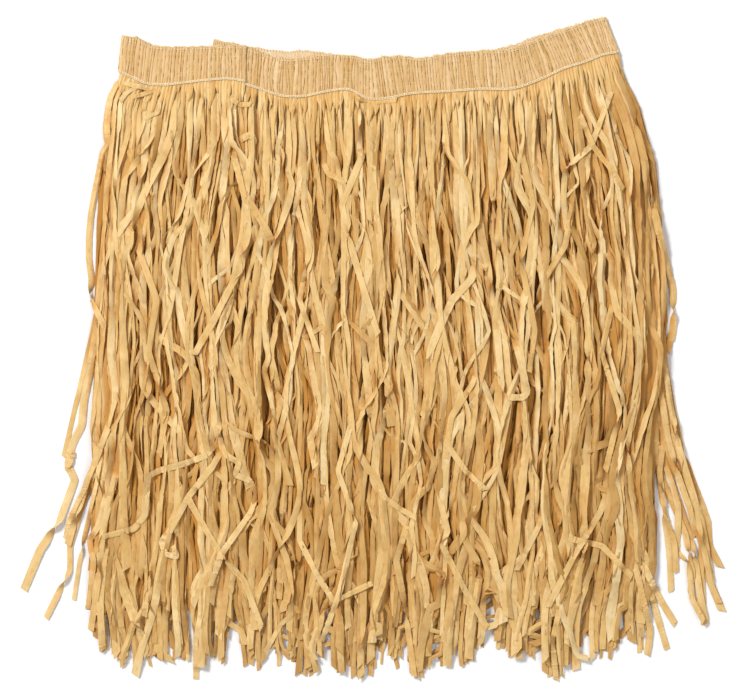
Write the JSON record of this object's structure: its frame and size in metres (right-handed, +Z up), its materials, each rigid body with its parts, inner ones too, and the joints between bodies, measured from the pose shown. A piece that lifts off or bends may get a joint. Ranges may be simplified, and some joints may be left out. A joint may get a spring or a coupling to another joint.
{
  "type": "grass skirt",
  "caption": "Paper raffia grass skirt laid flat: a long gathered waistband folded and lapped at the front, with layered ribbon fringe hanging from it.",
  "frame": {"origin": "centre of the laid skirt's outline, on the surface that it lies on", "axes": "+X across the skirt to the viewer's right, +Y from hem to waistband, +Z up from the surface towards the front of the skirt"},
  "size_m": [0.6228, 0.575, 0.0176],
  "materials": {
    "raffia_band": "gathered paper raffia, matt with a faint sheen",
    "raffia_front": "crumpled paper raffia ribbon, matt with a faint sheen",
    "raffia_inner": "crumpled paper raffia ribbon in the shade of the layers above",
    "stitching": "cream polyester sewing thread"
  },
  "bodies": {
    "root": {"waistband": "raffia_band", "grass_front_outer": "raffia_front", "grass_front_inner": "raffia_inner", "grass_back_inner": "raffia_inner", "grass_back_outer": "raffia_inner"}
  },
  "joints": []
}
